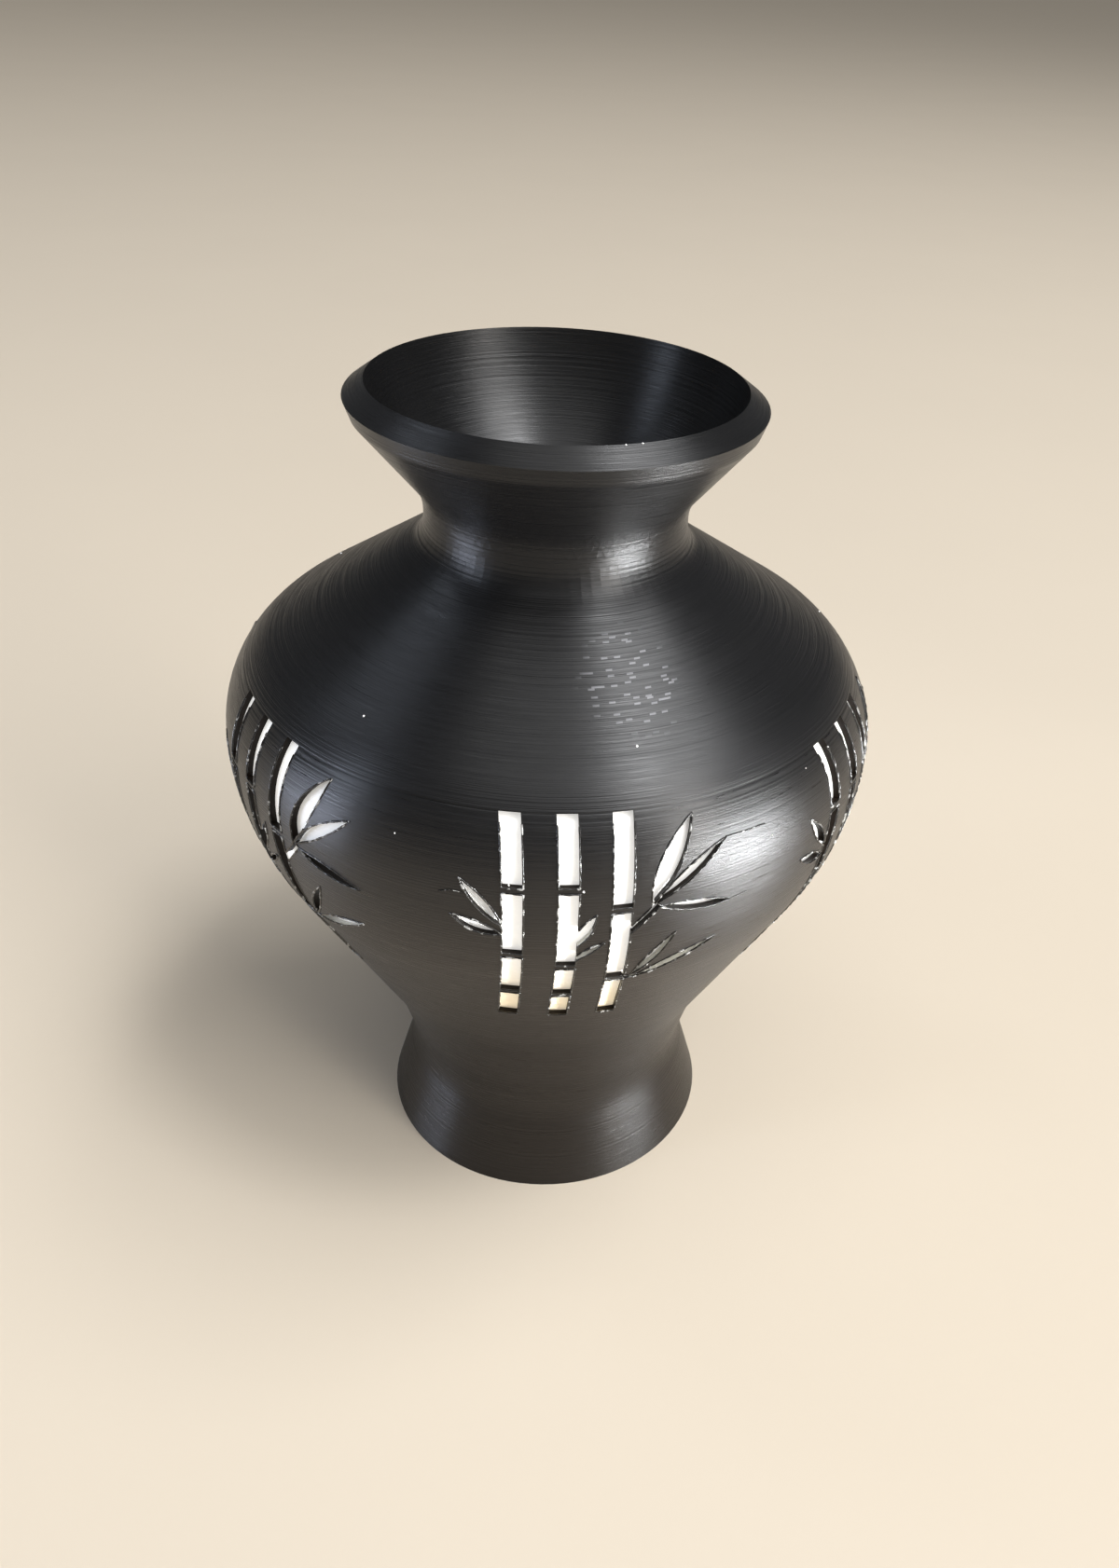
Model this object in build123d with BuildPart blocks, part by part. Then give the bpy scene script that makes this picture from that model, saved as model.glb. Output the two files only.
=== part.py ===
from build123d import *
import math
import os

# Vase with bamboo cut-outs: a black shell in two glued halves round a white inner vessel.
# Millimetres and degrees. The base centre is the origin, +Z is up, and -Y is the front.

# Body outline from the foot up. It runs straight between corners, which are bent round.
foot_radius = 36.5
waist_radius = 30.6
waist_height = 20.1
waist_bend = 18.3
stem_radius = 35.3
stem_height = 37.9
stem_bend = 50.0
belly_radius = 62.5
belly_height = 103.5
belly_band = 0.6
# How far below and above the belly's widest band the flank and the shoulder would meet it unbent
belly_low_reach = 12.5
belly_high_reach = 12.1
shoulder_slope = 32.6

# Neck and flared mouth, stacked on the shoulder
neck_radius = 23.9
neck_length = 7.7
neck_fillet = 6.0
mouth_fillet = 8.0
mouth_radius = 35.5
mouth_rise = 14.0
lip_radius = 36.5
lip_band = 2.8
rim_radius = 32.8
rim_bevel = 2.6
funnel_bow = 1.8

# Shell and the joint between its two halves
wall = 1.2
floor_thickness = 2.0
seam_height = 117.7
spigot_wall = 1.4
spigot_depth = 5.0
spigot_clearance = 0.2

# White inner vessel
liner_gap = 0.5
liner_wall = 1.0
liner_floor = 1.6
liner_rim_gap = 0.5

# Bamboo cut-outs. Places are measured across from the middle of a group and down from the seam.
group_count = 6
stalk_width = 3.5
stalk_drop = 51.2
joint_height = 1.0
stalks = [
    {"across": -12.4, "joint_drops": [12.1, 27.2, 40.4]},
    {"across": -3.4, "joint_drops": [11.9, 30.4, 41.5]},
    {"across": 5.5, "joint_drops": [16.5, 35.6]},
]
# Each leaf: its root, its tip, and how far it bows to its left and to its right
leaves = [
    {"root": (10.6, 16.3), "tip": (16.9, 1.5), "left": 2.5, "right": 1.25},
    {"root": (10.6, 16.3), "tip": (23.0, 6.3), "left": 1.9, "right": 0.8},
    {"root": (11.5, 16.6), "tip": (25.2, 19.2), "left": 1.0, "right": 1.1},
    {"root": (8.2, 35.1), "tip": (15.4, 23.4), "left": 1.0, "right": 0.9},
    {"root": (8.6, 35.8), "tip": (23.3, 28.2), "left": 1.3, "right": 0.9},
    {"root": (-13.9, 20.1), "tip": (-20.8, 10.6), "left": 1.1, "right": 1.1},
    {"root": (-13.9, 21.8), "tip": (-22.4, 18.3), "left": 1.6, "right": 0.9},
    {"root": (-2.6, 25.2), "tip": (1.4, 16.9), "left": 1.2, "right": 1.1},
    {"root": (-2.6, 28.7), "tip": (2.9, 23.7), "left": 0.9, "right": 0.5},
]
# Each twig: its two ends, joining leaves to a stalk, and its width
twigs = [
    {"start": (7.0, 21.6), "end": (11.6, 16.1), "width": 1.3},
    {"start": (7.0, 35.4), "end": (9.6, 35.2), "width": 0.9},
]

# Corners, bends and heights that follow from these
low_corner = belly_height - belly_band / 2 - belly_low_reach
high_corner = belly_height + belly_band / 2 + belly_high_reach
flank_lean = math.atan2(belly_radius - stem_radius, low_corner - stem_height)
shoulder_turn = math.radians(90 - shoulder_slope)
low_bend = belly_low_reach / math.tan(flank_lean / 2)
high_bend = belly_high_reach / math.tan(shoulder_turn / 2)
neck_start = high_corner + (belly_radius - neck_radius) * math.tan(math.radians(shoulder_slope))
neck_top = neck_start + neck_length
lip_low = neck_top + mouth_rise
lip_crease = lip_low + lip_band
overall_height = lip_crease + rim_bevel

# Outer line of the body, from the foot to the top of the neck
with BuildLine() as body_line:
    FilletPolyline(
        (foot_radius, 0),
        (waist_radius, waist_height),
        (stem_radius, stem_height),
        (belly_radius, low_corner),
        (belly_radius, high_corner),
        (neck_radius, neck_start),
        (neck_radius, neck_top),
        radius=(waist_bend, stem_bend, low_bend, high_bend, neck_fillet),
    )

waist_arc = body_line.edges().filter_by(GeomType.CIRCLE).sort_by(Axis.Y)[0]
narrow_radius = waist_arc.arc_center.X - waist_arc.radius
narrow_height = waist_arc.arc_center.Y


def turned_form(inset, low):
    """The solid of the body drawn in by the inset, from a height up to the neck's top."""
    with BuildPart() as form:
        with BuildSketch(Plane.XZ):
            with BuildLine() as outline:
                add(body_line.line)
                if inset > 0:
                    offset(amount=inset, side=Side.LEFT, closed=False, mode=Mode.REPLACE)
                ends = outline.vertices().sort_by(Axis.Y)
                foot = (ends[0].X, ends[0].Y)
                top = (ends[-1].X, ends[-1].Y)
                Polyline(top, (0, top[1]), (0, foot[1]), foot)
            make_face()
        revolve(axis=Axis.Z)
        split(bisect_by=Plane.XY.offset(low), keep=Keep.TOP)
    return form.part


def vessel_form(inset, bottom):
    """The body drawn in by the inset down to its narrowest, then a straight tube to the bottom."""
    with BuildPart() as form:
        add(turned_form(inset, narrow_height))
        with BuildSketch(Plane.XY.offset(bottom)):
            Circle(narrow_radius - inset)
        extrude(amount=narrow_height - bottom)
    return form.part


# One bamboo group: three stalks with their joints, then twigs and leaves, cut straight back
# from the front, so that each edge stays upright on the curved wall
with BuildPart() as bamboo_cutter:
    with BuildSketch(Plane.XZ):
        for stalk in stalks:
            with Locations((stalk["across"], seam_height)):
                Rectangle(stalk_width, stalk_drop, align=(Align.CENTER, Align.MAX))
            joint_places = [(stalk["across"], seam_height - drop) for drop in stalk["joint_drops"]]
            with Locations(joint_places):
                Rectangle(stalk_width, joint_height, mode=Mode.SUBTRACT)
        for twig in twigs:
            start = Vector(twig["start"][0], seam_height - twig["start"][1])
            end = Vector(twig["end"][0], seam_height - twig["end"][1])
            middle = (start + end) / 2
            tilt = math.degrees(math.atan2(end.Y - start.Y, end.X - start.X))
            with Locations(Location((middle.X, middle.Y), tilt)):
                Rectangle((end - start).length, twig["width"])
        for leaf in leaves:
            root = (leaf["root"][0], seam_height - leaf["root"][1])
            tip = (leaf["tip"][0], seam_height - leaf["tip"][1])
            with BuildLine():
                SagittaArc(root, tip, leaf["left"])
                SagittaArc(root, tip, -leaf["right"])
            make_face()
    extrude(amount=belly_radius + wall)

# Lower half of the shell: foot, waist and belly up to the seam, closed by a floor
with BuildPart() as lower_shell:
    add(turned_form(0, 0))
    split(bisect_by=Plane.XY.offset(seam_height), keep=Keep.BOTTOM)
    add(turned_form(wall, floor_thickness), mode=Mode.SUBTRACT)
    with PolarLocations(0, group_count):
        add(bamboo_cutter.part, mode=Mode.SUBTRACT)

# Inner vessel, a gap inside the shell
outer_inset = wall + liner_gap
with BuildPart() as liner:
    add(vessel_form(outer_inset, floor_thickness))
    inside = vessel_form(outer_inset + liner_wall, floor_thickness + liner_floor)
    add(inside, mode=Mode.SUBTRACT)
    split(bisect_by=Plane.XY.offset(seam_height - liner_rim_gap), keep=Keep.BOTTOM)

liner_mouth = min(edge.radius for edge in liner.part.edges().group_by(Axis.Z)[-1])
spigot_radius = liner_mouth - spigot_clearance

# A ring below the shoulder plugs into the inner vessel's rim. The middle of the shell's wall
# trims its upper end.
with BuildPart() as spigot:
    with BuildSketch(Plane.XY.offset(seam_height - spigot_depth)):
        Circle(spigot_radius)
        Circle(spigot_radius - spigot_wall, mode=Mode.SUBTRACT)
    extrude(amount=overall_height)
    add(turned_form(wall / 2, 0), mode=Mode.INTERSECT)

# Upper half of the shell: shoulder, neck, flared mouth and the ring
with BuildPart() as upper_shell:
    add(turned_form(0, seam_height))
    add(turned_form(wall, floor_thickness), mode=Mode.SUBTRACT)
    throat_radius = neck_radius - wall
    with BuildSketch(Plane.XZ):
        with BuildLine():
            Polyline(
                (throat_radius, neck_top),
                (neck_radius, neck_top),
                (mouth_radius, lip_low),
                (lip_radius, lip_crease),
                (rim_radius, overall_height),
            )
            SagittaArc((rim_radius, overall_height), (throat_radius, neck_top), funnel_bow)
        make_face()
    revolve(axis=Axis.Z)
    neck_edges = upper_shell.edges().filter_by(GeomType.CIRCLE).filter_by_position(
        Axis.Z, neck_top, neck_top
    )
    fillet(neck_edges.sort_by(SortBy.RADIUS)[-1], mouth_fillet)
    add(spigot.part)

lower_shell.part.label = "lower_shell"
upper_shell.part.label = "upper_shell"
liner.part.label = "liner"

os.makedirs("parts", exist_ok=True)
export_step(lower_shell.part, "parts/lower_shell.step")
export_step(upper_shell.part, "parts/upper_shell.step")
export_step(liner.part, "parts/liner.step")
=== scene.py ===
import bmesh
import bpy
import math
from mathutils import Matrix, Vector
from mathutils.kdtree import KDTree


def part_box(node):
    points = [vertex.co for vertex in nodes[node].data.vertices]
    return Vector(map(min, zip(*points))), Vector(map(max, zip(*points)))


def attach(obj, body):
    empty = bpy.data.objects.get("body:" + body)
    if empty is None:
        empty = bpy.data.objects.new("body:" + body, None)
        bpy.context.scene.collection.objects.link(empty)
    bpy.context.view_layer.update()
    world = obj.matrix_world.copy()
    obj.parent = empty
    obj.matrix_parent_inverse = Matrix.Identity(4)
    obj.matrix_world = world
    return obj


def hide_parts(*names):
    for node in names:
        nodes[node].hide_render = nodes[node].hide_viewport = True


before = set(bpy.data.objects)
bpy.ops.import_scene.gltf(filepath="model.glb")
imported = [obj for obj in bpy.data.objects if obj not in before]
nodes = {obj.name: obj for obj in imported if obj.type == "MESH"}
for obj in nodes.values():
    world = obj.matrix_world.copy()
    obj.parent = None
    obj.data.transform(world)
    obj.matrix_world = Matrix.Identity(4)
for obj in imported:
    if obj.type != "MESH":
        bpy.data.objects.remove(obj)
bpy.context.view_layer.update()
mm = 0.001

# Six equal bamboo groups stand round the body
groupCount = 6
groupStep = 2 * math.pi / groupCount

# Outline of the turned body, in millimetres: corners from the foot up, and how round each one is.
# The wall and the inner vessel's two sides are measured inwards from the shell's outside.
outline = {
    "corners": [(36.5, 0), (30.6, 20.1), (35.3, 37.9), (62.5, 90.7), (62.5, 115.9), (23.9, 140.59),
                (23.9, 148.29)],
    "bends": [18.3, 50.0, 51.56, 22.1, 6.0],
    "mouthBend": 8.0,
    "wall": 1.2,
    "linerOuter": 1.7,
    "linerInner": 2.7,
    "mouth": [(23.9, 148.29), (35.5, 162.29), (36.5, 165.09), (32.8, 167.69)],
    "throat": (22.7, 148.29),
    "funnelBow": 1.8,
    "narrow": (31.3, 20.36),
    "floor": 2.0,
    "belowMouth": 4.0,
    "ringBelowSeam": 5.0,
}
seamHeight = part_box("upper_shell")[0][2] / mm + outline["ringBelowSeam"]
# Distance between two samples of the outline, in millimetres
sampleStep = 0.1

# The camera, solved from the photograph: pixels of the 1200 x 1682 frame, metres and radians
view = {
    "frame": (1200, 1682),
    "focal": 1346.2,
    "principal": (695.4, 895.8),
    "distance": 0.2187,
    "height": 0.2323,
    "pitch": 0.6313,
    "yaw": 0.0964,
    "roll": 0.0759,
    "turn": math.radians(-6.0),
    "sensor": 24.0,
    "clip": (0.01, 100.0),
}


def makeCamera():
    pitch, yaw, roll = view["pitch"], view["yaw"], view["roll"]
    forward = Vector((math.sin(yaw) * math.cos(pitch), math.cos(yaw) * math.cos(pitch), -math.sin(pitch)))
    level = Vector((math.cos(yaw), -math.sin(yaw), 0))
    lift = level.cross(forward)
    right = math.cos(roll) * level + math.sin(roll) * lift
    up = math.cos(roll) * lift - math.sin(roll) * level
    place = Vector((0, -view["distance"], view["height"]))
    turn = Matrix.Rotation(view["turn"], 3, "Z")
    axes = Matrix((turn @ right, turn @ up, turn @ -forward)).transposed()
    data = bpy.data.cameras.new("camera")
    width, height = view["frame"]
    data.sensor_fit = "VERTICAL"
    data.sensor_height = view["sensor"]
    data.lens = data.sensor_height * view["focal"] / height
    data.shift_x = (width / 2 - view["principal"][0]) / height
    data.shift_y = (view["principal"][1] - height / 2) / height
    data.clip_start, data.clip_end = view["clip"]
    camera = bpy.data.objects.new("camera", data)
    camera.matrix_world = Matrix.Translation(turn @ place) @ axes.to_4x4()
    bpy.context.collection.objects.link(camera)
    bpy.context.scene.camera = camera


# Points along a straight meridian, with the normal on its right-hand side
def lineSamples(start, end):
    start, end = Vector(start), Vector(end)
    run = end - start
    normal = Vector((run.y, -run.x)).normalized()
    count = max(2, int(run.length / sampleStep))
    return [(start + run * i / count, normal) for i in range(count + 1)]


# Points along an arc, with normals away from its centre when outward is 1 and towards it when it is -1
def arcSamples(centre, radius, startAngle, sweep, outward):
    count = max(4, int(abs(sweep) * radius / sampleStep))
    samples = []
    for i in range(count + 1):
        angle = startAngle + sweep * i / count
        direction = Vector((math.cos(angle), math.sin(angle)))
        samples.append((centre + direction * radius, direction * outward))
    return samples


# Points along straight lines whose corners are bent round
def bentLine(corners, bends):
    samples = []
    last = Vector(corners[0])
    for i, bend in enumerate(bends, start=1):
        before, corner, after = (Vector(corners[j]) for j in (i - 1, i, i + 1))
        a, b = (before - corner).normalized(), (after - corner).normalized()
        turn = math.pi - a.angle(b)
        reach = bend * math.tan(turn / 2)
        start, end = corner + a * reach, corner + b * reach
        centre = corner + (a + b).normalized() * bend / math.cos(turn / 2)
        samples += lineSamples(last, start)
        first = math.atan2(start.y - centre.y, start.x - centre.x)
        final = math.atan2(end.y - centre.y, end.x - centre.x)
        sweep = (final - first + math.pi) % (2 * math.pi) - math.pi
        samples += arcSamples(centre, bend, first, sweep, 1 if sweep > 0 else -1)
        last = end
    return samples + lineSamples(last, corners[-1])


# Points along an arc between two ends that bows out to the left
def sagArc(start, end, bow):
    start, end = Vector(start), Vector(end)
    chord = (end - start).length
    radius = (chord ** 2 / 4 + bow ** 2) / (2 * bow)
    left = Vector((start.y - end.y, end.x - start.x)) / chord
    centre = (start + end) / 2 - left * (radius - bow)
    first = math.atan2(start.y - centre.y, start.x - centre.x)
    final = math.atan2(end.y - centre.y, end.x - centre.x)
    sweep = (final - first + math.pi) % (2 * math.pi) - math.pi
    return arcSamples(centre, radius, first, sweep, 1 if sweep > 0 else -1)


bodySamples = bentLine(outline["corners"], outline["bends"])


# Points and normals of all the turned faces: both sides of the shell and of the inner vessel, and the mouth
def meridianNormals():
    shellSides = ((0, 1), (outline["wall"], -1))
    linerSides = ((outline["linerOuter"], 1), (outline["linerInner"], -1))
    samples = []
    for inset, side in shellSides + linerSides:
        samples += [(point - normal * inset, normal * side) for point, normal in bodySamples]
    narrow, height = outline["narrow"]
    for inset, side in linerSides:
        tube = lineSamples((narrow - inset, outline["floor"]), (narrow - inset, height))
        samples += [(point, normal * side) for point, normal in tube]
    mouth = outline["mouth"]
    neck = (mouth[0][0], mouth[0][1] - outline["belowMouth"])
    samples += bentLine([neck, mouth[0], mouth[1]], [outline["mouthBend"]])
    for start, end in zip(mouth, mouth[1:]):
        samples += lineSamples(start, end)
    funnel = sagArc(mouth[-1], outline["throat"], outline["funnelBow"])
    samples += [(point, normal if normal.x < 0 else -normal) for point, normal in funnel]
    return samples


# How a face is matched to the outline. One radian of lean counts as leanWeight millimetres of distance.
# A face turned further aside than the share sideways is the wall of a cut-out. Lengths in millimetres.
matching = {"leanWeight": 6.0, "sideways": 0.12, "level": 0.999, "axis": 2.0, "reach": 0.15, "agree": 0.8,
            "lowestCut": 30.0, "rim": 1.0}

normalSamples = meridianNormals()
normalTree = KDTree(len(normalSamples))
for index, (point, normal) in enumerate(normalSamples):
    lean = math.atan2(normal.y, normal.x) * matching["leanWeight"]
    normalTree.insert((point.x, point.y, lean), index)
normalTree.balance()


# The outline's own normal at a corner of a face, or None where the face doesn't follow the outline
def outlineNormal(spot, flat, lean):
    radius = math.hypot(spot.x, spot.y)
    if radius < matching["axis"] * mm:
        return None
    _, found, _ = normalTree.find((radius / mm, spot.z / mm, lean))
    point, normal = normalSamples[found]
    if math.hypot(point.x - radius / mm, point.y - spot.z / mm) > matching["reach"]:
        return None
    true = Vector((spot.x, spot.y, 0)) / radius * normal.x + Vector((0, 0, normal.y))
    return true if true.dot(flat) > matching["agree"] else None


# A merged copy of a solid with the round outline's normals. Walls of the lower shell's cut-outs get
# material slot 1.
def smoothCopy(node, name):
    source = nodes[node]
    mesh = source.data.copy()
    mesh.materials.clear()
    piece = bpy.data.objects.new(name, mesh)
    bpy.context.collection.objects.link(piece)
    work = bmesh.new()
    work.from_mesh(mesh)
    bmesh.ops.remove_doubles(work, verts=work.verts, dist=1e-6)
    work.to_mesh(mesh)
    work.free()
    normals = [None] * len(mesh.loops)
    for polygon in mesh.polygons:
        polygon.use_smooth = True
        flat, middle = polygon.normal, polygon.center
        outward = Vector((middle.x, middle.y, 0)).normalized()
        across = abs(flat.dot(Vector((-outward.y, outward.x, 0))))
        lean = math.atan2(flat.z, flat.dot(outward)) * matching["leanWeight"]
        level = abs(flat.z) > matching["level"]
        follows = across <= matching["sideways"] and not level
        turned = 0
        for loop in polygon.loop_indices:
            spot = mesh.vertices[mesh.loops[loop].vertex_index].co
            true = outlineNormal(spot, flat, lean) if follows else None
            normals[loop] = flat.copy() if true is None else true
            turned += true is not None
        isRim = level and middle.z > (seamHeight - matching["rim"]) * mm
        inReach = node == "lower_shell" and middle.z > matching["lowestCut"] * mm
        polygon.material_index = 1 if inReach and turned == 0 and not isRim else 0
    mesh.normals_split_custom_set(normals)
    return piece


# Short calls for building the nodes of a material or a group
class Graph:
    def __init__(self, tree):
        self.tree = tree

    def add(self, kind, inputs=None, **settings):
        node = self.tree.nodes.new(kind)
        for key, value in settings.items():
            setattr(node, key, value)
        for key, value in (inputs or {}).items():
            socket = node.inputs[key]
            if isinstance(value, bpy.types.NodeSocket):
                self.tree.links.new(value, socket)
            else:
                socket.default_value = value
        return node

    def math(self, operation, a, b=0.0, clamp=False):
        return self.add("ShaderNodeMath", {0: a, 1: b}, operation=operation, use_clamp=clamp).outputs[0]

    def ramp(self, value, low, high, toLow=0.0, toHigh=1.0):
        node = self.add("ShaderNodeMapRange", {"Value": value, "From Min": low, "From Max": high,
                                               "To Min": toLow, "To Max": toHigh})
        node.interpolation_type = "SMOOTHSTEP"
        return node.outputs[0]

    def mixColour(self, factor, a, b):
        node = self.add("ShaderNodeMix", {0: factor}, data_type="RGBA")
        for socket, value in ((node.inputs[6], a), (node.inputs[7], b)):
            if isinstance(value, bpy.types.NodeSocket):
                self.tree.links.new(value, socket)
            else:
                socket.default_value = value
        return node.outputs[2]


def newGroup(name, outputs):
    group = bpy.data.node_groups.new(name, "ShaderNodeTree")
    for label, kind in outputs:
        group.interface.new_socket(label, in_out="OUTPUT", socket_type=kind)
    graph = Graph(group)
    graph.out = group.nodes.new("NodeGroupOutput")
    return group, graph


# Print layers: every 0.2 mm is one line of plastic laid round the vase
layers = {"height": 0.2 * mm, "ridge": 0.012 * mm, "banding": 0.16 * mm, "streaking": 0.05 * mm,
          "bandsPerMetre": 2000.0, "streaksPerMetre": 150.0, "streakStretch": 26.0, "detail": 3.0,
          "bandRoughness": 0.6, "streakRoughness": 0.65}


def layerGroup():
    group, g = newGroup("printLayers", [("Height", "NodeSocketFloat"), ("Line", "NodeSocketFloat"),
                                        ("Streak", "NodeSocketFloat")])
    place = g.add("ShaderNodeTexCoord").outputs["Object"]
    z = g.add("ShaderNodeSeparateXYZ", {0: place}).outputs[2]
    count = g.math("DIVIDE", z, layers["height"])
    ridge = g.math("SINE", g.math("MULTIPLY", g.math("FRACT", count), math.pi))
    line = g.add("ShaderNodeTexWhiteNoise", {"W": g.math("FLOOR", count)}, noise_dimensions="1D")
    band = g.add("ShaderNodeTexNoise", {"W": g.math("MULTIPLY", z, layers["bandsPerMetre"]), "Scale": 1.0,
                                       "Detail": layers["detail"], "Roughness": layers["bandRoughness"]},
                 noise_dimensions="1D").outputs[0]
    long = g.add("ShaderNodeMapping", {"Vector": place, "Scale": (1, 1, layers["streakStretch"])},
                 vector_type="POINT").outputs[0]
    streak = g.add("ShaderNodeTexNoise", {"Vector": long, "Scale": layers["streaksPerMetre"],
                                         "Detail": layers["detail"],
                                         "Roughness": layers["streakRoughness"]}).outputs[0]
    height = g.math("MULTIPLY", ridge, layers["ridge"])
    height = g.math("ADD", height, g.math("MULTIPLY", band, layers["banding"]))
    height = g.math("ADD", height, g.math("MULTIPLY", streak, layers["streaking"]))
    for index, value in enumerate((height, line.outputs["Value"], streak)):
        g.tree.links.new(value, g.out.inputs[index])
    return group


layerLines = layerGroup()


# Where a point lies round the vase: its turn from the front, its radius, and how far across it is
# from the middle of the nearest bamboo group
def groupPlace():
    group, g = newGroup("groupPlace", [("Turn", "NodeSocketFloat"), ("Radius", "NodeSocketFloat"),
                                       ("Across", "NodeSocketFloat")])
    place = g.add("ShaderNodeSeparateXYZ", {0: g.add("ShaderNodeTexCoord").outputs["Object"]})
    x, y = place.outputs[0], place.outputs[1]
    turn = g.math("ARCTAN2", x, g.math("MULTIPLY", y, -1.0))
    radius = g.math("SQRT", g.math("ADD", g.math("MULTIPLY", x, x), g.math("MULTIPLY", y, y)))
    nearest = g.math("MULTIPLY", g.math("ROUND", g.math("DIVIDE", turn, groupStep)), groupStep)
    across = g.math("MULTIPLY", radius, g.math("SINE", g.math("SUBTRACT", turn, nearest)))
    for index, value in enumerate((turn, radius, across)):
        g.tree.links.new(value, g.out.inputs[index])
    return group


roundPlace = groupPlace()


# Brings the inner vessel's outside closer to the shell behind the cut-outs, in millimetres
swelling = {"amount": 0.42, "from": 40.0, "belowSeam": 1.0, "reach": 0.1}


def swell(piece):
    tree = KDTree(len(bodySamples))
    for index, (point, normal) in enumerate(bodySamples):
        spot = point - normal * outline["linerOuter"]
        tree.insert((spot.x, spot.y, 0), index)
    tree.balance()
    for vert in piece.data.vertices:
        radius, height = vert.co.xy.length / mm, vert.co.z / mm
        _, index, away = tree.find((radius, height, 0))
        if away < swelling["reach"] and swelling["from"] < height < seamHeight - swelling["belowSeam"]:
            normal = bodySamples[index][1]
            outward = vert.co.xy.normalized()
            direction = Vector((outward.x * normal.x, outward.y * normal.x, normal.y))
            vert.co += direction * swelling["amount"] * mm


def newMaterial(name):
    material = bpy.data.materials.new(name)
    material.use_nodes = True
    g = Graph(material.node_tree)
    g.shader = material.node_tree.nodes["Principled BSDF"]
    g.link = material.node_tree.links.new
    return material, g


# Black satin plastic of the shell, with a scuffed patch on the front of the shoulder and a painted warm floor
# reflection low down
shell = {
    "colour": (0.0054, 0.0053, 0.0056, 1),
    "paintedFloorReflection": (0.0068, 0.0048, 0.0036, 1),
    "paintedReflectionReach": (80 * mm, 118 * mm),
    "roughness": 0.34,
    "belowSeam": -0.03,
    "roughnessSpread": 0.16,
    "anisotropy": 0.7,
    "specular": 0.46,
    "bump": 0.55,
    "grain": 0.006 * mm,
    "grainScale": 2600.0,
    "lineRoughness": 0.05,
    "brushTurn": 0.25,
    "seamDepth": 0.07 * mm,
    "seamReach": (0.05 * mm, 0.22 * mm),
    "seamDark": 0.7,
    "seamColour": (0.002, 0.002, 0.002, 1),
    "scuffTurn": 13.0,
    "scuffHeight": 130.8 * mm,
    "scuffReach": (15.0, 6.5 * mm),
    "scuffFade": (0.55, 1.0),
    "scuffLength": 1.1 * mm,
    "scuffShift": 7.0,
    "scuffShare": 0.93,
    "scuffColour": (0.14, 0.14, 0.15, 1),
}


# Short bright dashes lying along the layers inside one soft-edged patch
def scuffMask(g, z):
    place = g.add("ShaderNodeGroup")
    place.node_tree = roundPlace
    turn, radius = place.outputs["Turn"], place.outputs["Radius"]
    reachTurn, reachHeight = math.radians(shell["scuffReach"][0]), shell["scuffReach"][1]
    aside = g.math("DIVIDE", g.math("SUBTRACT", turn, math.radians(shell["scuffTurn"])), reachTurn)
    above = g.math("DIVIDE", g.math("SUBTRACT", z, shell["scuffHeight"]), reachHeight)
    away = g.math("SQRT", g.math("ADD", g.math("MULTIPLY", aside, aside), g.math("MULTIPLY", above, above)))
    patch = g.ramp(away, *shell["scuffFade"], 1.0, 0.0)
    row = g.math("FLOOR", g.math("DIVIDE", z, layers["height"]))
    shift = g.add("ShaderNodeTexWhiteNoise", {"W": row}, noise_dimensions="1D").outputs["Value"]
    along = g.math("DIVIDE", g.math("MULTIPLY", turn, radius), shell["scuffLength"])
    cell = g.math("FLOOR", g.math("ADD", along, g.math("MULTIPLY", shift, shell["scuffShift"])))
    lot = g.add("ShaderNodeCombineXYZ", {0: cell, 1: row, 2: 0.5}).outputs[0]
    draw = g.add("ShaderNodeTexWhiteNoise", {"Vector": lot}, noise_dimensions="3D").outputs["Value"]
    return g.math("MULTIPLY", g.math("GREATER_THAN", draw, shell["scuffShare"]), patch)


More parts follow.
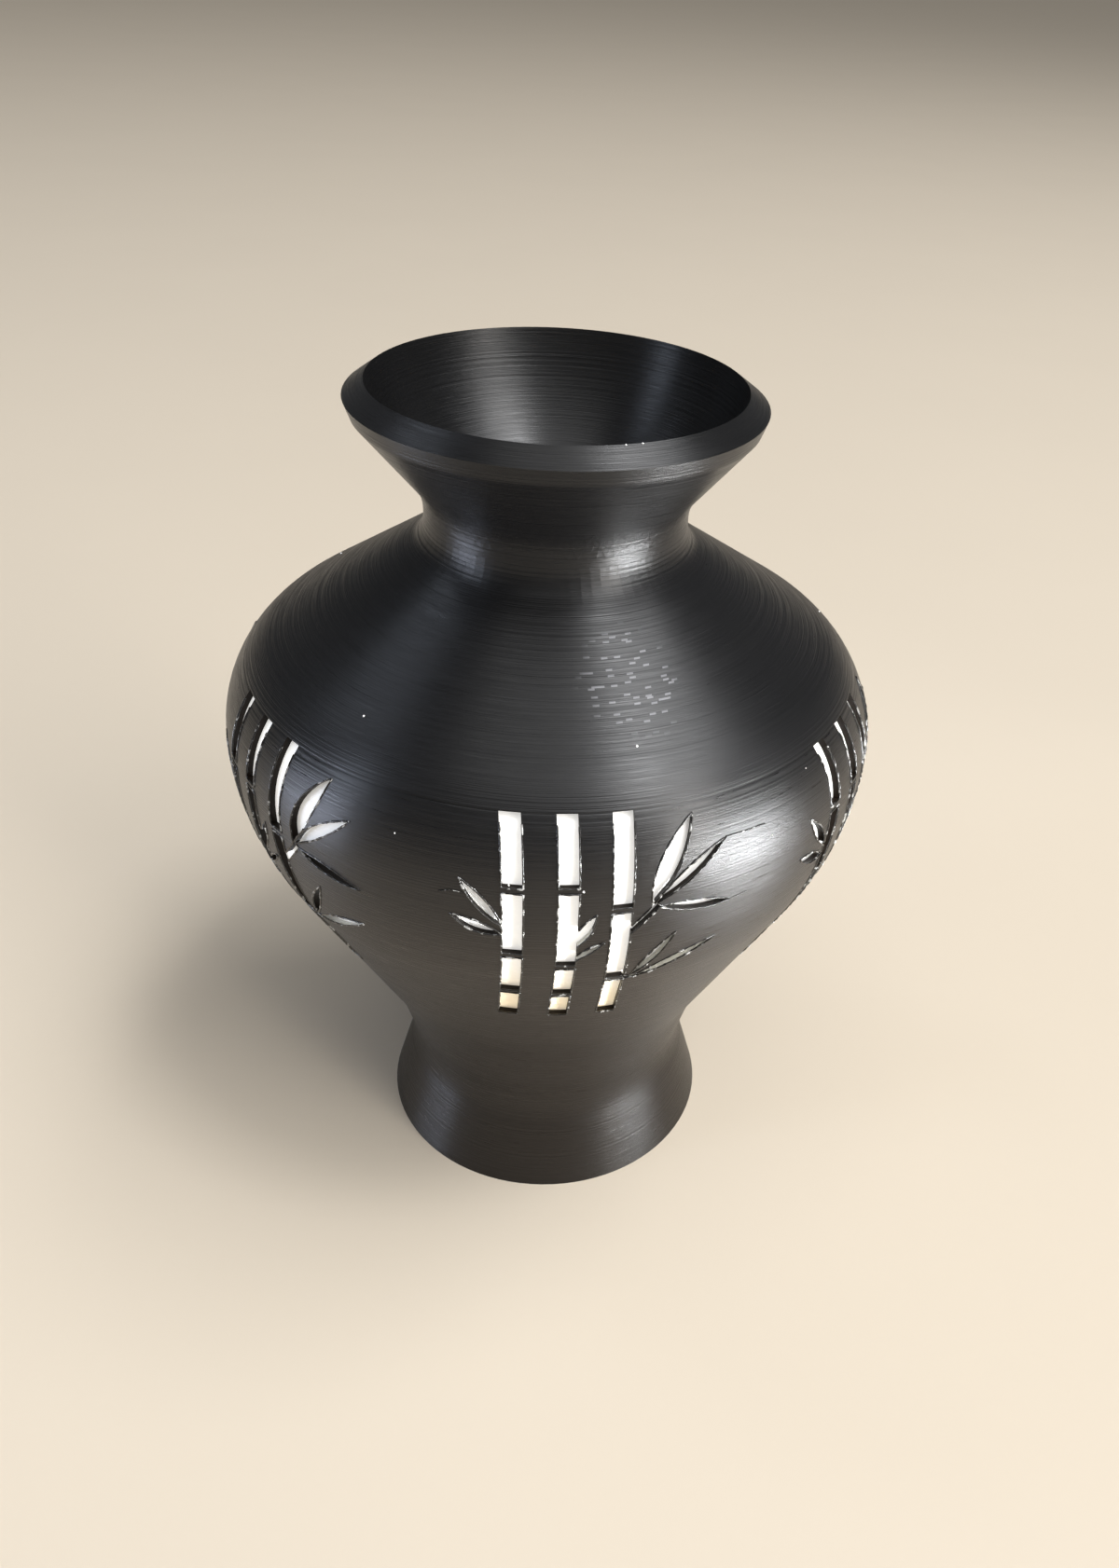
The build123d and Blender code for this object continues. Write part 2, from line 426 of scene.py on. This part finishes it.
def shellMaterial():
    material, g = newMaterial("blackPrint")
    place = g.add("ShaderNodeTexCoord").outputs["Object"]
    layer = g.add("ShaderNodeGroup")
    layer.node_tree = layerLines
    grain = g.add("ShaderNodeTexNoise", {"Vector": place, "Scale": shell["grainScale"], "Detail": 2.0})
    grain = g.math("MULTIPLY", grain.outputs[0], shell["grain"])
    height = g.math("ADD", layer.outputs["Height"], grain)
    z = g.add("ShaderNodeSeparateXYZ", {0: place}).outputs[2]
    off = g.math("ABSOLUTE", g.math("SUBTRACT", z, seamHeight * mm))
    seam = g.ramp(off, *shell["seamReach"], 1.0, 0.0)
    height = g.math("SUBTRACT", height, g.math("MULTIPLY", seam, shell["seamDepth"]))
    bump = g.add("ShaderNodeBump", {"Strength": shell["bump"], "Distance": 1.0, "Height": height})
    scuff = scuffMask(g, z)
    streak = g.math("SUBTRACT", layer.outputs["Streak"], 0.5)
    spread = g.math("MULTIPLY", streak, shell["roughnessSpread"] * 2)
    below = g.math("MULTIPLY", g.math("LESS_THAN", z, seamHeight * mm), shell["belowSeam"])
    rough = g.math("ADD", g.math("ADD", shell["roughness"], spread), below)
    rough = g.math("ADD", rough, g.math("MULTIPLY", layer.outputs["Line"], shell["lineRoughness"]))
    # Painted reflection of the warm floor: the black turns browner below the belly
    rise = g.ramp(z, *shell["paintedReflectionReach"])
    dark = g.mixColour(rise, shell["paintedFloorReflection"], shell["colour"])
    dark = g.mixColour(g.math("MULTIPLY", seam, shell["seamDark"]), dark, shell["seamColour"])
    dark = g.mixColour(scuff, dark, shell["scuffColour"])
    g.link(dark, g.shader.inputs["Base Color"])
    g.link(rough, g.shader.inputs["Roughness"])
    g.link(bump.outputs[0], g.shader.inputs["Normal"])
    tangent = g.add("ShaderNodeTangent", direction_type="RADIAL", axis="Z")
    g.link(tangent.outputs[0], g.shader.inputs["Tangent"])
    g.shader.inputs["Anisotropic"].default_value = shell["anisotropy"]
    g.shader.inputs["Anisotropic Rotation"].default_value = shell["brushTurn"]
    g.shader.inputs["Specular IOR Level"].default_value = shell["specular"]
    return material


# The walls of the cut-outs are dark, but for the lower walls of the small low leaves, which are painted pale
# for the light they take from the white vessel. The pale places are (left, right, top, bottom), as groupSpot
# gives them.
cutLook = {
    "colour": (0.010, 0.007, 0.005, 1),
    "paleColour": (0.52, 0.52, 0.48, 1),
    "roughness": 0.45,
    "specular": 0.12,
    "palePlaces": [(7.6, 24.0, 23.0, 36.5), (-1.5, 3.2, 16.5, 29.2)],
    "paleUp": 0.3,
}


# Where a point lies in the nearest bamboo group, in millimetres: across from its middle, down from the seam
def groupSpot(point):
    turn = math.atan2(point.x, -point.y)
    turn -= round(turn / groupStep) * groupStep
    return point.xy.length / mm * math.sin(turn), seamHeight - point.z / mm


def isPaleCut(polygon):
    across, drop = groupSpot(polygon.center)
    inside = any(left < across < right and top < drop < bottom
                 for left, right, top, bottom in cutLook["palePlaces"])
    return inside and polygon.normal.z > cutLook["paleUp"]


def cutMaterial(name, colour):
    material, g = newMaterial(name)
    g.shader.inputs["Base Color"].default_value = colour
    g.shader.inputs["Roughness"].default_value = cutLook["roughness"]
    g.shader.inputs["Specular IOR Level"].default_value = cutLook["specular"]
    return material


# Shinier black of the ridges and strings, where the plastic was squeezed or dragged, with painted pale glints
# in spots
beadLook = {"colour": (0.007, 0.0065, 0.006, 1), "paintedGlint": (0.30, 0.30, 0.29, 1), "paintedGlintReach": (0.565, 0.625),
            "spots": 700.0, "roughness": 0.24}


def beadMaterial():
    material, g = newMaterial("blackBead")
    place = g.add("ShaderNodeTexCoord").outputs["Object"]
    noise = g.add("ShaderNodeTexNoise", {"Vector": place, "Scale": beadLook["spots"], "Detail": 3.0})
    # Painted glints: pale spots of colour scattered along the ridges
    paintedGlint = g.ramp(noise.outputs[0], *beadLook["paintedGlintReach"])
    g.link(g.mixColour(paintedGlint, beadLook["colour"], beadLook["paintedGlint"]), g.shader.inputs["Base Color"])
    g.shader.inputs["Roughness"].default_value = beadLook["roughness"]
    return material


# White satin plastic of the inner vessel, with painted warm shade that makes it creamier low down. A painted
# glow stands in for daylight from the open mouth shining through its thin wall, and is painted dimmer behind
# the narrow leaves.
linerLook = {
    "white": (0.90, 0.89, 0.86, 1),
    "paintedWarmShade": (0.82, 0.70, 0.50, 1),
    "paintedWarmShadeReach": (68 * mm, 94 * mm),
    "bump": 0.35,
    "streaks": (0.2, 0.8),
    "roughness": (0.42, 0.6),
    "glow": 0.62,
    "stalks": (-15.0 * mm, 8.0 * mm),
    "leafGlow": 0.52,
    "softEdge": 1.0 * mm,
}


def linerMaterial():
    material, g = newMaterial("whitePrint")
    place = g.add("ShaderNodeTexCoord").outputs["Object"]
    layer = g.add("ShaderNodeGroup")
    layer.node_tree = layerLines
    around = g.add("ShaderNodeGroup")
    around.node_tree = roundPlace
    z = g.add("ShaderNodeSeparateXYZ", {0: place}).outputs[2]
    # Painted warm shade: creamier and darker low down
    low = g.ramp(z, *linerLook["paintedWarmShadeReach"], 1.0, 0.0)
    colour = g.mixColour(low, linerLook["white"], linerLook["paintedWarmShade"])
    bump = g.add("ShaderNodeBump", {"Strength": linerLook["bump"], "Distance": 1.0,
                                    "Height": layer.outputs["Height"]})
    left, right = linerLook["stalks"]
    soft = linerLook["softEdge"]
    across = around.outputs["Across"]
    pastLeft = g.ramp(across, left - soft, left + soft)
    beforeRight = g.ramp(across, right - soft, right + soft, 1.0, 0.0)
    behind = g.math("MULTIPLY", pastLeft, beforeRight)
    # Painted glow, dimmer behind the narrow leaves than behind the stalks
    dim = tuple(value * linerLook["leafGlow"] for value in linerLook["white"][:3]) + (1,)
    glow = g.mixColour(behind, dim, colour)
    g.link(colour, g.shader.inputs["Base Color"])
    g.link(glow, g.shader.inputs["Emission Color"])
    g.shader.inputs["Emission Strength"].default_value = linerLook["glow"]
    rough = g.ramp(layer.outputs["Streak"], *linerLook["streaks"], *linerLook["roughness"])
    g.link(rough, g.shader.inputs["Roughness"])
    g.link(bump.outputs[0], g.shader.inputs["Normal"])
    return material


# Radius of the outside at a height, both in millimetres
def outerRadius(height):
    pairs = zip(bodySamples, bodySamples[1:])
    for (low, _), (high, _) in pairs:
        if low.y <= height <= high.y and high.y > low.y:
            return low.x + (high.x - low.x) * (height - low.y) / (high.y - low.y)
    return outline["mouth"][2][0]


# Which faces are the outside and which edges count, in millimetres, but for the share that faces out
cutting = {"near": 0.25, "facing": 0.5, "lowest": 30.0, "belowSeam": 0.05}


# Runs of points where the round outside of the lower shell breaks off at a cut-out
def cutRuns(mesh):
    work = bmesh.new()
    work.from_mesh(mesh)
    outside = set()
    for face in work.faces:
        middle = face.calc_center_median()
        outward = Vector((middle.x, middle.y, 0)).normalized()
        near = abs(middle.xy.length / mm - outerRadius(middle.z / mm)) < cutting["near"]
        if near and face.normal.dot(outward) > cutting["facing"]:
            outside.add(face.index)
    beside = {}
    for edge in work.edges:
        if len(edge.link_faces) != 2:
            continue
        sides = [face.index in outside for face in edge.link_faces]
        top = max(vert.co.z for vert in edge.verts) / mm
        if sides[0] != sides[1] and cutting["lowest"] < top < seamHeight - cutting["belowSeam"]:
            a, b = edge.verts
            beside.setdefault(a.index, set()).add(b.index)
            beside.setdefault(b.index, set()).add(a.index)
    work.verts.ensure_lookup_table()
    runs = []
    starts = [v for v in beside if len(beside[v]) != 2] + list(beside)
    for start in starts:
        while beside.get(start):
            run, here = [start], start
            while beside.get(here):
                step = min(beside[here])
                beside[here].discard(step)
                beside[step].discard(here)
                run.append(step)
                here = step
            if len(run) > 2:
                runs.append([work.verts[index].co.copy() for index in run])
    work.free()
    return runs


# The two upper right leaves share a root. This wedge of shell narrows the second leaf's left side, so
# that it stands apart from the first leaf down to the root. Places are (across, drop) in millimetres.
wedge = {
    "root": (10.6, 16.3),
    "firstTip": (16.9, 1.5),
    "firstBow": 1.25,
    "tip": (23.0, 6.3),
    "bow": 1.9,
    "newBow": 1.5,
    "lap": 0.04,
    "steps": 30,
    "tries": 60,
    "rows": 3,
    "leafGap": 0.1,
    "coverSpan": (0.03, 0.95),
    "coverReach": 0.12,
    "weld": 2e-6,
}


# Where a point lies beside a leaf's middle line: how far along, as a share, and how far to the left
def besideLeaf(point, tip):
    root = Vector((wedge["root"][0], -wedge["root"][1]))
    chord = Vector((tip[0], -tip[1])) - root
    away = point - root
    return away.dot(chord) / chord.length_squared, chord.cross(away) / chord.length


def inFirstLeaf(point):
    along, left = besideLeaf(point, wedge["firstTip"])
    return left > -4 * wedge["firstBow"] * along * (1 - along)


# Point on the shell straight in front of a place in a bamboo group, drawn in by the inset
def ontoShell(point, group, inset=0.0):
    height = seamHeight + point.y
    radius = outerRadius(height) - inset
    spot = Vector((point.x, -math.sqrt(radius ** 2 - point.x ** 2), height)) * mm
    return Matrix.Rotation(groupStep * group, 3, "Z") @ spot


# Rows of points across the wedge from its root to its tip, and whether each row ends at the first leaf
def wedgeRows():
    root = Vector((wedge["root"][0], -wedge["root"][1]))
    chord = Vector((wedge["tip"][0], -wedge["tip"][1])) - root
    left = Vector((-chord.y, chord.x)).normalized()
    rows = []
    for i in range(1, wedge["steps"]):
        part = i / wedge["steps"]
        bulge = 4 * part * (1 - part)
        low, high = wedge["newBow"] * bulge, wedge["bow"] * bulge + wedge["lap"]
        limit = low
        for j in range(1, wedge["tries"] + 1):
            reach = low + (high - low) * j / wedge["tries"]
            if inFirstLeaf(root + chord * part + left * reach):
                break
            limit = reach
        spots = [low + (limit - low) * k / wedge["rows"] for k in range(wedge["rows"] + 1)]
        atLeaf = limit < high - wedge["leafGap"]
        rows.append(([root + chord * part + left * reach for reach in spots], atLeaf))
    return rows


def makeWedges(material):
    rows = wedgeRows()
    count, width = len(rows), wedge["rows"] + 1
    work = bmesh.new()
    for group in range(groupCount):
        front, back = ([[work.verts.new(ontoShell(point, group, inset)) for point in row] for row, _ in rows]
                       for inset in (0.0, outline["wall"]))
        for i in range(count - 1):
            for k in range(width - 1):
                work.faces.new((front[i][k], front[i + 1][k], front[i + 1][k + 1], front[i][k + 1]))
                work.faces.new((back[i][k], back[i][k + 1], back[i + 1][k + 1], back[i + 1][k]))
            work.faces.new((front[i][0], back[i][0], back[i + 1][0], front[i + 1][0]))
            work.faces.new((front[i][-1], front[i + 1][-1], back[i + 1][-1], back[i][-1]))
        for k in range(width - 1):
            work.faces.new((front[0][k], front[0][k + 1], back[0][k + 1], back[0][k]))
            work.faces.new((front[-1][k], back[-1][k], back[-1][k + 1], front[-1][k + 1]))
    bmesh.ops.dissolve_degenerate(work, edges=work.edges, dist=wedge["weld"])
    bmesh.ops.recalc_face_normals(work, faces=work.faces)
    mesh = bpy.data.meshes.new("leafWedges")
    work.to_mesh(mesh)
    work.free()
    mesh.materials.append(material)
    piece = bpy.data.objects.new("leafWedges", mesh)
    bpy.context.collection.objects.link(piece)
    return piece


# Takes the ridge off the edge that the wedges cover, and adds their own edges
def moveRuns(runs):
    first, last = wedge["coverSpan"]
    kept = []
    for run in runs:
        part = []
        for spot in run:
            across, drop = groupSpot(spot)
            along, left = besideLeaf(Vector((across, -drop)), wedge["tip"])
            bulge = 4 * along * (1 - along)
            covered = first < along < last and abs(left - wedge["bow"] * bulge) < wedge["coverReach"]
            if covered and len(part) > 2:
                kept.append(part)
            part = [] if covered else part + [spot]
        if len(part) > 2:
            kept.append(part)
    rows = wedgeRows()
    for group in range(groupCount):
        kept.append([ontoShell(row[0], group) for row, _ in rows])
        kept.append([ontoShell(row[-1], group) for row, atLeaf in rows if atLeaf])
    return kept


# A geometry tree with these number inputs, one count and a material
def newTree(name, numbers, count):
    tree = bpy.data.node_groups.new(name, "GeometryNodeTree")
    kinds = [("Geometry", "NodeSocketGeometry")]
    kinds += [(label, "NodeSocketFloat") for label in numbers]
    kinds += [(count, "NodeSocketInt"), ("Material", "NodeSocketMaterial")]
    for label, kind in kinds:
        tree.interface.new_socket(label, in_out="INPUT", socket_type=kind)
    tree.interface.new_socket("Geometry", in_out="OUTPUT", socket_type="NodeSocketGeometry")
    g = Graph(tree)
    return tree, g, g.add("NodeGroupInput").outputs


# Ends a tree: its shape as one smooth mesh with the material
def closeTree(g, shape, material):
    shape = g.add("GeometryNodeRealizeInstances", {0: shape}).outputs[0]
    shape = g.add("GeometryNodeSetShadeSmooth", {0: shape}).outputs[0]
    shape = g.add("GeometryNodeSetMaterial", {0: shape, "Material": material}).outputs[0]
    g.add("NodeGroupOutput", {0: shape})


# A tube along each run of points. Its thickness wanders, and it wobbles to the sides.
def tubeTree(name):
    tree, g, given = newTree(name, ("Thin", "Thick", "Step", "Bumps", "Wobble"), "Sides")
    curve = g.add("GeometryNodeMeshToCurve", {0: given["Geometry"]}).outputs[0]
    curve = g.add("GeometryNodeResampleCurve", {"Curve": curve, "Length": given["Step"]}, mode="LENGTH")
    curve = curve.outputs[0]
    spot = g.add("GeometryNodeInputPosition").outputs[0]
    noise = g.add("ShaderNodeTexNoise", {"Vector": spot, "Scale": given["Bumps"], "Detail": 2.0})
    thick = g.add("ShaderNodeMapRange", {"Value": noise.outputs[0], "From Min": 0.3, "From Max": 0.7,
                                         "To Min": given["Thin"], "To Max": given["Thick"]}).outputs[0]
    middle = g.add("ShaderNodeVectorMath", {0: noise.outputs["Color"], 1: (0.5, 0.5, 0.5)},
                   operation="SUBTRACT")
    shift = g.add("ShaderNodeVectorMath", {0: middle.outputs[0], "Scale": given["Wobble"]}, operation="SCALE")
    curve = g.add("GeometryNodeSetPosition", {"Geometry": curve, "Offset": shift.outputs[0]}).outputs[0]
    ring = g.add("GeometryNodeCurvePrimitiveCircle", {"Resolution": given["Sides"], "Radius": 1.0}).outputs[0]
    tube = g.add("GeometryNodeCurveToMesh", {"Curve": curve, "Profile Curve": ring, "Scale": thick,
                                             "Fill Caps": True}).outputs[0]
    closeTree(g, tube, given["Material"])
    return tree


# Small lumps scattered on given points, no two of one size
def lumpTree(name):
    tree, g, given = newTree(name, ("Smallest", "Largest"), "Seed")
    points = g.add("GeometryNodeMeshToPoints", {0: given["Geometry"]}).outputs[0]
    ball = g.add("GeometryNodeMeshIcoSphere", {"Radius": 1.0, "Subdivisions": 2}).outputs[0]
    size = g.add("FunctionNodeRandomValue", {2: given["Smallest"], 3: given["Largest"],
                                             "Seed": given["Seed"]}, data_type="FLOAT").outputs[1]
    lumps = g.add("GeometryNodeInstanceOnPoints", {"Points": points, "Instance": ball, "Scale": size})
    closeTree(g, lumps.outputs[0], given["Material"])
    return tree


# Runs the tree on plain points and edges, and keeps the result as a plain mesh
def growPiece(name, runs, tree, values):
    points = [tuple(point) for run in runs for point in run]
    edges, first = [], 0
    for run in runs:
        edges += [(first + i, first + i + 1) for i in range(len(run) - 1)]
        first += len(run)
    guide = bpy.data.meshes.new(name + "Guide")
    guide.from_pydata(points, edges, [])
    maker = bpy.data.objects.new(name + "Maker", guide)
    bpy.context.collection.objects.link(maker)
    modifier = maker.modifiers.new("grow", "NODES")
    modifier.node_group = tree
    for item in tree.interface.items_tree:
        if item.in_out == "INPUT" and item.name in values:
            modifier[item.identifier] = values[item.name]
    evaluated = maker.evaluated_get(bpy.context.evaluated_depsgraph_get())
    mesh = bpy.data.meshes.new_from_object(evaluated)
    mesh.name = name
    piece = bpy.data.objects.new(name, mesh)
    bpy.context.collection.objects.link(piece)
    bpy.data.objects.remove(maker)
    bpy.data.meshes.remove(guide)
    return piece


# Raised ridge of plastic along every cut edge
beads = {"Thin": 0.10 * mm, "Thick": 0.25 * mm, "Step": 0.40 * mm, "Bumps": 1100.0, "Wobble": 0.16 * mm,
         "Sides": 6}

# Fine strings of plastic left on the outside, as (turn in degrees, height in millimetres)
strings = {
    "runs": [
        [(22.0, 111.4), (25.8, 111.3), (29.6, 111.2)],
        [(23.8, 98.7), (25.3, 98.7), (26.6, 98.9)],
        [(-22.6, 103.8), (-20.7, 104.5), (-18.7, 104.4)],
    ],
    "lift": 0.1,
    "Thin": 0.05 * mm, "Thick": 0.11 * mm, "Step": 0.5 * mm, "Bumps": 500.0, "Wobble": 0.1 * mm, "Sides": 5,
}

# Pale lumps on the outside and the rim, partly stray white plastic and partly painted glints, lit by the
# white vessel's painted glow, as (turn in degrees, height in millimetres)
specksAndGlints = {
    "places": [(-44.0, 123.8), (41.6, 115.8), (10.0, 124.3), (-12.0, 106.8), (-1.0, 105.8), (31.0, 108.5),
               (-30.0, 112.0), (95.0, 121.0), (150.0, 118.5), (-120.0, 126.0), (17.0, 167.6), (19.6, 167.5),
               (12.2, 167.6)],
    "Smallest": 0.10 * mm, "Largest": 0.22 * mm, "Seed": 4,
}


# A point on the outside, or on the rim's inner edge when it lies above the neck
def surfacePoint(turn, height, lift=0.0):
    radius = outerRadius(height) if height < outline["mouth"][0][1] else outline["mouth"][3][0]
    angle = math.radians(turn)
    return Vector((math.sin(angle), -math.cos(angle), 0)) * (radius + lift) * mm + Vector((0, 0, height * mm))


stageLook = {"floor": (0.64, 0.56, 0.45, 1), "shade": 0.97, "mottle": 9.0, "roughness": 0.8, "specular": 0.3,
             "backdrop": (0.10, 0.103, 0.107, 1), "size": 40.0}


def floorMaterial():
    material, g = newMaterial("paleFloor")
    place = g.add("ShaderNodeTexCoord").outputs["Object"]
    mottle = g.add("ShaderNodeTexNoise", {"Vector": place, "Scale": stageLook["mottle"], "Detail": 4.0})
    warm = stageLook["floor"]
    shade = tuple(value * stageLook["shade"] for value in warm[:3]) + (1,)
    g.link(g.mixColour(mottle.outputs[0], warm, shade), g.shader.inputs["Base Color"])
    g.shader.inputs["Roughness"].default_value = stageLook["roughness"]
    g.shader.inputs["Specular IOR Level"].default_value = stageLook["specular"]
    return material


def makeStage():
    half = stageLook["size"] / 2
    mesh = bpy.data.meshes.new("floor")
    corners = [(-half, -half, 0), (half, -half, 0), (half, half, 0), (-half, half, 0)]
    mesh.from_pydata(corners, [], [(0, 1, 2, 3)])
    floor = bpy.data.objects.new("floor", mesh)
    bpy.context.collection.objects.link(floor)
    mesh.materials.append(floorMaterial())
    world = bpy.data.worlds.new("studio")
    bpy.context.scene.world = world
    world.use_nodes = True
    background = world.node_tree.nodes["Background"]
    background.inputs["Color"].default_value = stageLook["backdrop"]
    background.inputs["Strength"].default_value = 1.0


# Each lamp stands round the belly and faces it: azimuth from the front towards the right, in degrees
lampTarget = (0, 0, 0.1)
lamps = [
    {"name": "key", "azimuth": 83, "elevation": 62, "distance": 3.0, "size": (1.5, 1.0), "power": 38.0,
     "colour": (0.97, 0.98, 1.0)},
    {"name": "high", "azimuth": 47, "elevation": 64, "distance": 3.0, "size": (0.55, 0.7), "power": 30.0,
     "colour": (0.97, 0.98, 1.0)},
    {"name": "window", "azimuth": 43, "elevation": 37, "distance": 2.5, "size": (1.1, 1.5), "power": 30.0,
     "colour": (1.0, 0.98, 0.96)},
    {"name": "lowRight", "azimuth": 57, "elevation": -12.2, "distance": 0.347, "size": (0.46, 0.035),
     "power": 0.62, "colour": (0.96, 0.98, 1.0), "spread": 45.0},
    {"name": "lowFront", "azimuth": 40, "elevation": 6, "distance": 1.0, "size": (0.14, 0.18), "power": 3.0,
     "colour": (1.0, 0.95, 0.88)},
    {"name": "left", "azimuth": -78, "elevation": 19, "distance": 1.4, "size": (0.26, 0.8), "power": 3.2,
     "colour": (0.74, 0.83, 1.0)},
    {"name": "lowLeft", "azimuth": -84, "elevation": -8, "distance": 0.5, "size": (0.22, 0.05), "power": 0.12,
     "colour": (0.72, 0.80, 1.0), "spread": 60.0},
    {"name": "back", "azimuth": -124, "elevation": 50, "distance": 2.0, "size": (0.3, 0.6), "power": 2.0,
     "colour": (0.78, 0.86, 1.0)},
]
# Even light from above that keeps the floor pale into the distance
skyLamp = {"strength": 0.8, "spread": 50.0, "lean": 15.0}


def makeLamps():
    for lamp in lamps:
        azimuth, elevation = math.radians(lamp["azimuth"]), math.radians(lamp["elevation"])
        direction = Vector((math.sin(azimuth) * math.cos(elevation), -math.cos(azimuth) * math.cos(elevation),
                            math.sin(elevation)))
        data = bpy.data.lights.new(lamp["name"], "AREA")
        data.shape = "RECTANGLE"
        data.size, data.size_y = lamp["size"]
        data.energy = lamp["power"]
        data.color = lamp["colour"]
        data.spread = math.radians(lamp.get("spread", 180.0))
        lampObject = bpy.data.objects.new(lamp["name"], data)
        lampObject.location = Vector(lampTarget) + direction * lamp["distance"]
        lampObject.rotation_euler = direction.to_track_quat("Z", "Y").to_euler()
        bpy.context.collection.objects.link(lampObject)
    data = bpy.data.lights.new("sky", "SUN")
    data.energy = skyLamp["strength"]
    data.angle = math.radians(skyLamp["spread"])
    sky = bpy.data.objects.new("sky", data)
    sky.rotation_euler = (math.radians(skyLamp["lean"]), 0, 0)
    bpy.context.collection.objects.link(sky)


def addPiece(piece):
    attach(piece, "root")
    print("made", piece.name, len(piece.data.polygons))


def build():
    makeCamera()
    makeStage()
    makeLamps()
    black, white, bead = shellMaterial(), linerMaterial(), beadMaterial()
    cuts = [cutMaterial("blackCut", cutLook["colour"]), cutMaterial("paleCut", cutLook["paleColour"])]
    made = {}
    for node, name, material, slot in (
        ("lower_shell", "lowerShell", black, "shell"),
        ("upper_shell", "upperShell", black, "shell"),
        ("liner", "innerVessel", white, "liner"),
    ):
        piece = smoothCopy(node, name)
        piece.data.materials.append(material)
        if name == "lowerShell":
            for cut in cuts:
                piece.data.materials.append(cut)
            # Up-facing low leaf walls in the pale places get the painted pale light
            for polygon in piece.data.polygons:
                if polygon.material_index == 1 and isPaleCut(polygon):
                    polygon.material_index = 2
        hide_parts(node)
        addPiece(piece)
        made[name] = piece
    swell(made["innerVessel"])
    tubes, lumps = tubeTree("tubeAlong"), lumpTree("lumpsOn")
    addPiece(makeWedges(black))
    runs = moveRuns(cutRuns(made["lowerShell"].data))
    print("cut runs", len(runs), "points", sum(len(run) for run in runs))
    addPiece(growPiece("cutBeads", runs, tubes, {**beads, "Material": bead}))
    threads = [[surfacePoint(*spot, strings["lift"]) for spot in run] for run in strings["runs"]]
    addPiece(growPiece("printStrings", threads, tubes, {**strings, "Material": bead}))
    dots = [[surfacePoint(*spot)] for spot in specksAndGlints["places"]]
    addPiece(growPiece("paleSpecksAndGlints", dots, lumps, {**specksAndGlints, "Material": white}))
    bpy.context.scene.view_settings.view_transform = "Standard"


build()
